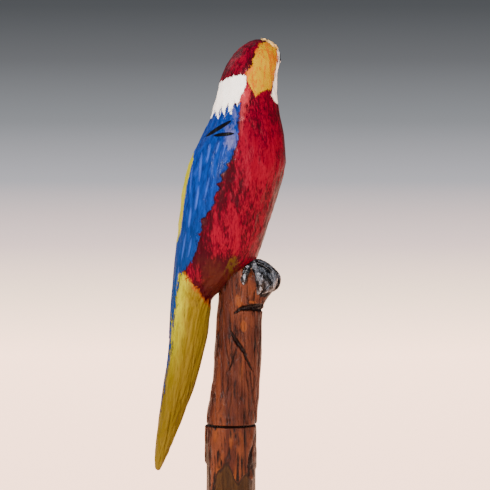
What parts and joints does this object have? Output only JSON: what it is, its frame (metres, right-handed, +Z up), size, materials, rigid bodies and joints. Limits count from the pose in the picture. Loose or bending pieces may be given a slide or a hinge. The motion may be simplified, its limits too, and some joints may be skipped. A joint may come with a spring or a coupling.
{
  "type": "walking stick",
  "caption": "Wooden walking stick whose top is carved and painted as a macaw gripping a knob; the top unscrews and the rubber tip pulls off.",
  "frame": {"origin": "centre of the rubber tip's sole, where it meets the ground, on the stick's axis", "axes": "+Z up the stick, +X the way the bird's breast faces, +Y to the bird's left, where it looks"},
  "size_m": [0.0716, 0.0562, 0.914],
  "materials": {
    "bark_wood": "stained and varnished, carved like bark",
    "red_paint": "brushed paint under varnish",
    "blue_paint": "brushed paint under varnish",
    "ochre_paint": "brushed paint under varnish",
    "cream_paint": "brushed paint under varnish",
    "black_paint": "brushed paint under varnish",
    "eye_glass": "black glass bead",
    "dowel_wood": "plain birch",
    "plated_steel": "zinc plated",
    "insert_brass": "turned",
    "tip_rubber": "moulded"
  },
  "bodies": {
    "shaft": {"shaft": "bark_wood", "joint_insert": "insert_brass"},
    "joint_stud": {"joint_stud": "plated_steel"},
    "topper": {"perch_post": "bark_wood", "macaw_body": "red_paint", "right_wing": "blue_paint", "left_wing": "blue_paint", "tail_board": "ochre_paint", "upper_beak": "cream_paint", "lower_beak": "black_paint", "right_eye": "eye_glass", "left_eye": "eye_glass", "right_foot": "black_paint", "left_foot": "black_paint", "body_dowel": "dowel_wood", "tail_pins": "dowel_wood"},
    "tip": {"rubber_tip": "tip_rubber", "tip_washer": "plated_steel"}
  },
  "joints": [
    {"name": "stud_rise", "type": "slide", "parent": "shaft", "child": "joint_stud", "axis": [0, 0, 1], "range_m": [0, 0.012]},
    {"name": "topper_turn", "type": "hinge", "parent": "joint_stud", "child": "topper", "pos_m": [0, 0, 0.705], "axis": [0, 0, 1], "range_deg": [0, 2881]},
    {"name": "tip_pull", "type": "slide", "parent": "shaft", "child": "tip", "axis": [0, 0, -1], "range_m": [0, 0.032]}
  ],
  "couplings": [
    {"joint": "topper_turn", "follows": "stud_rise", "rad_per_m": 4188.8}
  ]
}
